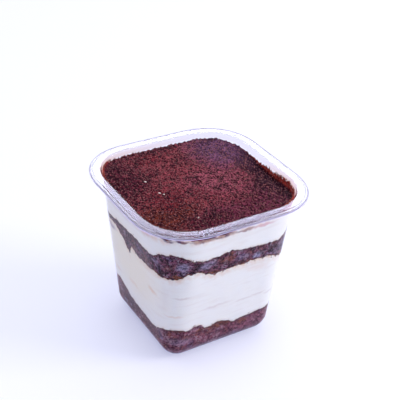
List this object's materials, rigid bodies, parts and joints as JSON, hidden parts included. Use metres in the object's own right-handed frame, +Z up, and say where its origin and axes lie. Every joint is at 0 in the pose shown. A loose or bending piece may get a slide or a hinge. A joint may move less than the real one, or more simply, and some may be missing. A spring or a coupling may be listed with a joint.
{
  "type": "tiramisu cup",
  "caption": "Layered sponge and cream dessert under cocoa powder, in a clear square cup with rounded corners, tapered walls and a flat flange round the mouth.",
  "frame": {"origin": "middle of the cup's foot, on the surface that it stands on", "axes": "+Z up out of the mouth; X and Y square to the four walls, with the wider face of the picture towards -Y and the narrower one towards -X"},
  "size_m": [0.085, 0.085, 0.078],
  "materials": {
    "clear_plastic": "thin clear glossy plastic, faintly blue",
    "sponge": "soaked dark cocoa sponge, moist and porous",
    "cream": "smooth white cream pressed against the wall, faintly streaked",
    "cocoa": "dry fine-grained cocoa powder, deep reddish brown"
  },
  "bodies": {
    "root": {"cup": "clear_plastic", "bottom_sponge": "sponge", "lower_cream": "cream", "middle_sponge": "sponge", "upper_cream": "cream", "cocoa_topping": "cocoa"}
  },
  "joints": []
}
